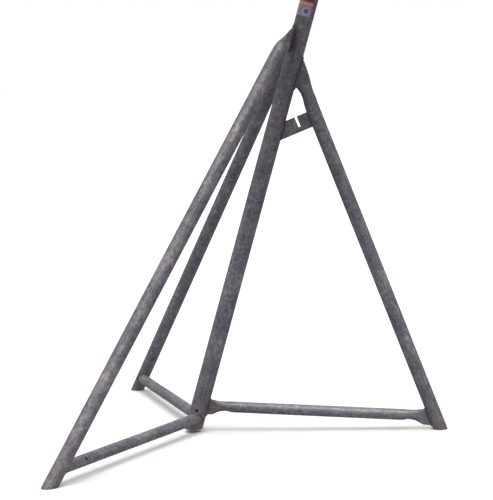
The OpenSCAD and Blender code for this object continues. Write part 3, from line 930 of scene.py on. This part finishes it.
PLATE_RISE = math.radians(21)
PLATE_CORNER = Vector((0.2505, 0, 0.751))  # on the top edge, at the post
PLATE_HEIGHT = 38 * MM
PLATE_SINK = 0.6 * MM  # how far the plate's edges run into the tubes
SLOT_FROM_POST = 28 * MM
SLOT_WIDTH = 5.8 * MM
SLOT_DEPTH = 25.8 * MM


def build_chain_plate(material):
    """The chain plate between post and front leg, with its slot open at the top edge."""
    along = Vector((math.cos(PLATE_RISE), 0, math.sin(PLATE_RISE)))
    upward = Vector((-math.sin(PLATE_RISE), 0, math.cos(PLATE_RISE)))
    corner = PLATE_CORNER - PLATE_THICK / 2 * ACROSS

    def meet(height, on_axis, axis, radius, towards):
        """Where the plate's line at this height meets a tube's side."""
        edge = on_axis + (radius - PLATE_SINK) * towards
        across = square_to(towards, axis)
        return (edge - corner - height * upward).dot(across) / along.dot(across)

    top, bottom = [(meet(height, *POST, AHEAD), meet(height, *FRONT_LEG, FRONT_BACK))
                   for height in (0, -PLATE_HEIGHT)]
    left, right = SLOT_FROM_POST - SLOT_WIDTH / 2, SLOT_FROM_POST + SLOT_WIDTH / 2
    outline = [(top[0], 0), (left, 0), (left, -SLOT_DEPTH), (right, -SLOT_DEPTH), (right, 0), (top[1], 0),
               (bottom[1], -PLATE_HEIGHT), (bottom[0], -PLATE_HEIGHT)]
    steel_plate("chain_plate_steel", outline, (corner, along, upward), PLATE_THICK * ACROSS, material,
                "frame", ["chain_plate"], 0.7 * MM)


LABEL_S = 1.0435  # its lower edge, up the post
LABEL_HEIGHT = 72.5 * MM
LABEL_THICK = 0.35 * MM
LABEL_FROM = -223  # degrees round the post from its front side
LABEL_WRAP = 170


def build_label(material):
    """The sticker, wrapped round the post: rings round its section, from one side edge to the other."""
    columns, rows = 72, 24
    heights = [LABEL_HEIGHT * j / rows for j in range(rows + 1)]
    section = [(POST_R + LABEL_THICK, height) for height in heights]
    section += [(POST_R + 0.02 * MM, height) for height in reversed(heights)]
    rings, coords = [], []
    for i in range(columns + 1):
        turn = math.radians(LABEL_WRAP * i / columns)
        angle = math.radians(LABEL_FROM) + turn
        out = math.cos(angle) * AHEAD + math.sin(angle) * ACROSS
        rings.append([(LABEL_S + height) * UP + radius * out for radius, height in section])
        coords += [(turn * POST_R, height, 0) for _, height in section]
    new_piece("post_sticker", *stacked(rings), material, "frame", ["post_label"], "sticker", coords)


# -------- the jack

SCREW_R = 15.875 * MM
SCREW_PITCH = 5.08 * MM
THREAD_DEPTH = 2.0 * MM
NUT_HEIGHT = 38 * MM
SCREW_TOP_S = NUT_S + NUT_HEIGHT + 18 * MM
SCREW_BOTTOM_S = NUT_S - 451.8 * MM
WASHER_THICK = 4 * MM
BARREL_R = 24.5 * MM
HANDLE_R = 7 * MM
HANDLE_AT = (NUT_S + NUT_HEIGHT / 2 + 3 * MM) * UP
HANDLE_START = 20 * MM  # inside the casting
HANDLE_REACH = 170 * MM


def thread_at(height, length):
    """The screw's radius as a function of the angle, at a height above its lower end: an Acme-like thread of
    crest, flank, root and flank, with chamfered ends."""
    crest, flank, chamfer = 0.34, 0.16, 3 * MM  # the first two are shares of the pitch
    limit = SCREW_R - max(0.0, chamfer - height, chamfer - (length - height))

    def radius(angle):
        place = (height / SCREW_PITCH - angle / (2 * math.pi)) % 1.0
        depth = min(max(place - crest, 0.0) / flank, (1.0 - place) / flank, 1.0)
        return min(SCREW_R - THREAD_DEPTH * depth, limit)
    return radius


def build_screw(material):
    """The jack screw with its right-hand rolled thread and chamfered ends."""
    length = SCREW_TOP_S - SCREW_BOTTOM_S
    profile = [(thread_at(height, length), height) for height in spaced(0, length, SCREW_PITCH / 10)]
    new_piece("jack_screw_thread", *solid(profile, SCREW_BOTTOM_S * UP, UP, AHEAD), material, "screw",
              ["jack_screw"], "screw_steel", sharp=28)


def build_washer(material):
    """The thrust washer on the post's end."""
    inner, outer, edge = SCREW_R + 0.8 * MM, POST_R + 7 * MM, 0.6 * MM
    profile = [(inner, 0), (outer - edge, 0), (outer, edge), (outer, WASHER_THICK - edge),
               (outer - edge, WASHER_THICK), (inner, WASHER_THICK)]
    turned("thrust_washer_ring", profile, POST_LENGTH * UP, material, "frame", ["thrust_washer"],
           "galvanised_plate")


def build_nut(material):
    """The cast handle nut: a barrel on a flange."""
    bore, chamfer, crown = SCREW_R + 0.1 * MM, 1.5 * MM, 2.5 * MM
    flange_r, flange_h, edge, fillet = POST_R + 8 * MM, 8 * MM, 1.2 * MM, 3.2 * MM
    profile = [(bore + chamfer, 0), (flange_r - edge, 0), (flange_r, edge), (flange_r, flange_h - fillet)]
    profile += arc((flange_r - fillet, flange_h - fillet), fillet, 0, 90, 6)[1:]
    profile += [(BARREL_R + 0.6 * MM, flange_h), (BARREL_R, flange_h + 0.8 * MM)]
    profile += arc((BARREL_R - crown, NUT_HEIGHT - crown), crown, 0, 90, 6)
    profile += [(bore + chamfer, NUT_HEIGHT), (bore, NUT_HEIGHT - chamfer), (bore, chamfer)]
    turned("handle_nut_casting", profile, NUT_S * UP, material, "nut", ["handle_nut"], "cast_nut")


def build_handles(material):
    """The nut's two bars, each with a collar where it enters the casting."""
    tip = 3 * MM  # the round at a bar's end
    rod = [(HANDLE_R, HANDLE_START), (HANDLE_R, HANDLE_REACH - tip)]
    rod += arc((HANDLE_R - tip, HANDLE_REACH - tip), tip, 0, 90, 6)[1:]
    collar = [(HANDLE_R + wider * MM, BARREL_R + further * MM)
              for wider, further in ((0, -3), (4, -3), (4, 3), (2.6, 5), (0, 6))]
    parts = []
    for axis in (-ACROSS, ACROSS):
        parts += [solid(rod, HANDLE_AT, axis, UP, 40), spun(collar, HANDLE_AT, axis, UP, 40)]
    add_coords(new_piece("handle_bar_rods", *joined(parts), material, "nut", ["handle_bars"], "bright_zinc"))


# -------- the pad

LUG_R = 17 * MM
LUG_THICK = 16 * MM
EAR_THICK = 6 * MM
EAR_Y = 8.5 * MM + EAR_THICK / 2  # the middle of an ear
BRACKET_HALF = EAR_Y + EAR_THICK / 2
BRACKET_BASE = 24 * MM
BASE_THICK = 6 * MM
PIVOT_HOLE_R = 6.45 * MM
PIVOT_BOLT_R = 6.35 * MM
HEX_THICK = 9 * MM
HEX_FLAT = 9.5 * MM  # from a hexagon's middle to its side
TOP_PLATE_SIDE = 180 * MM
TOP_PLATE_THICK = 6.3 * MM
BOARD_SIDE = 305 * MM
BOARD_THICK = 38 * MM
BOARD_CORNER = 14 * MM
FACING_THICK = 8 * MM
TOP_PLATE_S = PIVOT_S + BRACKET_BASE + BASE_THICK
BOARD_S = TOP_PLATE_S + TOP_PLATE_THICK
FACING_S = BOARD_S + BOARD_THICK
BOLT_PITCH = 140 * MM
BOLT_HOLE_R = 5.4 * MM


def eye_outline(end):
    """A bar with one end round about (0, 0) and the other square, at the height end."""
    if end > 0:
        return [(LUG_R, end), (-LUG_R, end)] + arc((0, 0), LUG_R, 180, 360, 32)
    return arc((0, 0), LUG_R, 0, 180, 32) + [(-LUG_R, end), (LUG_R, end)]


def build_pivot(steel):
    """The eye on the screw, and the clevis over it: two ears on a base."""
    ear_end = BRACKET_BASE + 3 * MM
    for name, middle, thick, end, body, nodes, bevel in (
            ("screw_lug_eye", 0, LUG_THICK, SCREW_TOP_S - PIVOT_S, "screw", ["screw_lug"], 1.2 * MM),
            ("bracket_ear_right", -EAR_Y, EAR_THICK, ear_end, "head", ["pad_bracket"], 0.9 * MM),
            ("bracket_ear_left", EAR_Y, EAR_THICK, ear_end, "head", [], 0.9 * MM)):
        start = PIVOT + (middle - thick / 2) * ACROSS
        steel_plate(name, eye_outline(end), (start, AHEAD, UP), thick * ACROSS, steel, body, nodes, bevel,
                    [(start, PIVOT_HOLE_R)])
    base = [(x * LUG_R, y * BRACKET_HALF) for x, y in ((-1, -1), (1, -1), (1, 1), (-1, 1))]
    steel_plate("bracket_base", base, (PIVOT + BRACKET_BASE * UP, AHEAD, ACROSS), BASE_THICK * UP, steel,
                "head", [], 0.9 * MM)


def hexagon(flat, limit):
    """The radius of a hexagon as a function of the angle, with its corners turned off at limit."""
    def radius(angle):
        wedge = (angle + math.pi / 6) % (math.pi / 3) - math.pi / 6
        return min(flat / math.cos(wedge), limit)
    return radius


def hex_head(start):
    """A hexagon head or nut along Y, with its corners turned off at both ends."""
    corner = HEX_FLAT / math.cos(math.pi / 6)
    profile = [(hexagon(HEX_FLAT, share * corner), rise * HEX_THICK)
               for share, rise in ((0.93, 0), (1.2, 0.14), (1.2, 0.86), (0.93, 1))]
    return solid(profile, start, ACROSS, UP)


def build_pivot_bolt(material):
    """The pivot bolt, with its head and shaft, and its nut."""
    start, run = PIVOT - BRACKET_HALF * ACROSS, 2 * BRACKET_HALF
    shaft = [(PIVOT_BOLT_R, 0), (PIVOT_BOLT_R, run + 11 * MM), (PIVOT_BOLT_R - 0.75 * MM, run + 12 * MM)]
    bolt = joined([hex_head(start - HEX_THICK * ACROSS), solid(shaft, start, ACROSS, UP)])
    nut = hex_head(PIVOT + BRACKET_HALF * ACROSS)
    new_piece("pivot_bolt_hex", *bolt, material, "head", ["pivot_bolt"], "bright_zinc", sharp=25)
    new_piece("pivot_nut_hex", *nut, material, "head", ["pivot_nut"], "bright_zinc", sharp=25)


def slab_outline(side, corner):
    """A square with round corners about (0, 0)."""
    inner = side / 2 - corner
    points = []
    for k, (x, y) in enumerate(((1, 1), (-1, 1), (-1, -1), (1, -1))):
        points += arc((x * inner, y * inner), corner, 90 * k, 90 * (k + 1), 8)
    return points


def build_pad(steel, plated, wood, rubber):
    """The top plate, the board, its ribbed rubber facing and the lag screws."""
    half = BOLT_PITCH / 2
    places = [TOP_PLATE_S * UP + x * half * AHEAD + y * half * ACROSS for x in (-1, 1) for y in (-1, 1)]
    steel_plate("top_plate_steel", slab_outline(TOP_PLATE_SIDE, 12 * MM), (TOP_PLATE_S * UP, AHEAD, ACROSS),
                TOP_PLATE_THICK * UP, steel, "head", ["top_plate"], 0.8 * MM,
                [(place, BOLT_HOLE_R) for place in places])
    board = plate("pad_board_ply", slab_outline(BOARD_SIDE, BOARD_CORNER), (BOARD_S * UP, AHEAD, ACROSS),
                  BOARD_THICK * UP, wood, "head", ["pad_board"], 1.6 * MM)
    board_space(board.data)
    build_facing(rubber)
    head = [(hexagon(8.5 * MM, limit * MM), rise * MM) for limit, rise in ((8.2, -7), (9.4, -6), (9.4, 0))]
    heads = joined([solid(head, place, UP, AHEAD) for place in places])
    new_piece("pad_lag_screws", *heads, plated, "head", ["pad_bolts"], "bright_zinc", sharp=25)


def board_space(mesh):
    """Board coordinates for the wood's grain, and 1 on its edges for the plies."""
    places = [(v.co.dot(AHEAD), v.co.dot(ACROSS), v.co.dot(UP) - BOARD_S) for v in mesh.vertices]
    set_attribute(mesh, "tube_co", places)
    edges = []
    for polygon in mesh.polygons:
        edges += [float(abs(polygon.normal.dot(UP)) < 0.7)] * polygon.loop_total
    set_attribute(mesh, "stain", edges, domain="CORNER")


def build_facing(rubber):
    """The facing: a rubber sheet with low ribs across it, its ends following the board's round corners."""
    pitch, rib, lip = 12 * MM, 2.2 * MM, 0.8 * MM
    floor = FACING_THICK - rib
    half = BOARD_SIDE / 2 - 0.5 * MM
    rib_shape = [(run * MM, floor + rise * MM) for run, rise in (
        (1.6, 0), (3.0, 1.6), (3.6, 2.2), (8.4, 2.2), (9.0, 1.6), (10.4, 0))]
    count = int(2 * half / pitch)
    profile = [(-half, floor)]
    for k in range(count):
        left = (k - count / 2) * pitch
        profile += [(left + run, height) for run, height in rib_shape]
    profile.append((half, floor))
    rings = []
    for x, height in profile:
        over = max(0.0, abs(x) - (half - BOARD_CORNER))
        side = half - BOARD_CORNER + math.sqrt(max(BOARD_CORNER**2 - over**2, 0.0))
        rings.append([(FACING_S + z) * UP + x * AHEAD + y * ACROSS for y, z in (
            (-side, 0.0), (-side, height - lip), (lip - side, height), (side - lip, height),
            (side, height - lip), (side, 0.0))])
    new_piece("pad_facing_rubber", *stacked(rings), rubber, "head", ["pad_facing"], "black_rubber", sharp=50)


# -------- build


def main():
    add_studio()
    tube_zinc = galvanised_material("galvanised_tube", brightness=1.7)
    plate_zinc = galvanised_material("galvanised_plate", brightness=1.5, grain=0.8)
    bead_zinc = galvanised_material("galvanised_weld", brightness=1.1, grain=1.6, stained=0.7)
    cast = galvanised_material("cast_galvanised", brightness=1.5, grain=1.4, stained=0.0)
    plated = plain_metal("bright_zinc", (0.34, 0.34, 0.31), (0.60, 0.59, 0.54), 0.38)
    rolled = plain_metal("screw_steel", (0.16, 0.145, 0.12), (0.34, 0.32, 0.29), 0.40)
    build_post(tube_zinc)
    build_front_leg(tube_zinc)
    build_rear_leg("right_rear_leg", tube_zinc, False)
    build_rear_leg("left_rear_leg", tube_zinc, True)
    build_front_arm(tube_zinc)
    build_rear_arm("right_rear_arm", tube_zinc, False)
    build_rear_arm("left_rear_arm", tube_zinc, True)
    build_chain_plate(plate_zinc)
    build_welds(bead_zinc)
    build_label(sticker_material())
    build_screw(rolled)
    build_washer(cast)
    build_nut(cast)
    build_handles(plated)
    build_pivot(plate_zinc)
    build_pivot_bolt(plated)
    build_pad(plate_zinc, plated, plywood_material(), rubber_material())


main()
